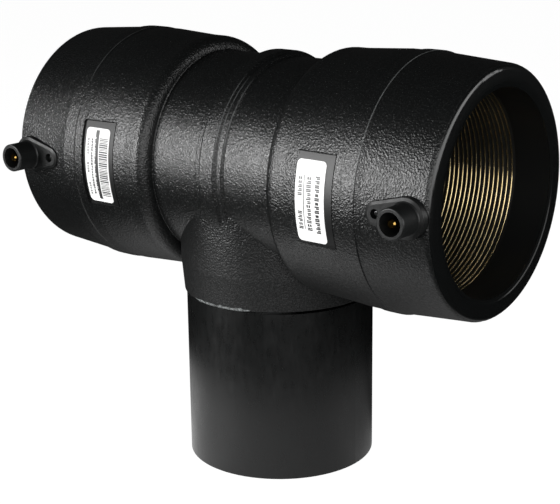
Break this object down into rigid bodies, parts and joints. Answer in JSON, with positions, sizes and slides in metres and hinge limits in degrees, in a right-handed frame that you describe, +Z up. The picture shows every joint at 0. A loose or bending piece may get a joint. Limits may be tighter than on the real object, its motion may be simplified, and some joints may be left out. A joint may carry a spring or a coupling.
{
  "type": "electrofusion tee",
  "caption": "Black polyethylene tee for pipe: two electrofusion sockets in line with heating wire in their bores, a plain spigot branch, shrouded terminals and labels.",
  "frame": {"origin": "centre of the spigot's end face, on the branch's axis", "axes": "+Z up the branch towards the run, +X along the run, -Y the side with the terminals and labels"},
  "size_m": [0.2386, 0.1274, 0.2014],
  "materials": {
    "body_plastic": "black polyethylene with a fine moulded grain, satin",
    "terminal_plastic": "smooth glossy black moulding",
    "contact_brass": "turned, bright",
    "indicator_plastic": "smooth black moulding",
    "heating_wire": "drawn wire, satin",
    "label_film": "printed white film"
  },
  "bodies": {
    "root": {"tee_body": "body_plastic", "terminal_housing_left": "terminal_plastic", "terminal_housing_right": "terminal_plastic", "terminal_pin_left": "contact_brass", "terminal_pin_right": "contact_brass", "indicator_pin_left": "indicator_plastic", "indicator_pin_right": "indicator_plastic", "winding_left": "heating_wire", "winding_right": "heating_wire", "lead_wire_left": "heating_wire", "lead_wire_right": "heating_wire", "bridge_wire": "heating_wire", "label_left": "label_film", "label_right": "label_film"}
  },
  "joints": []
}
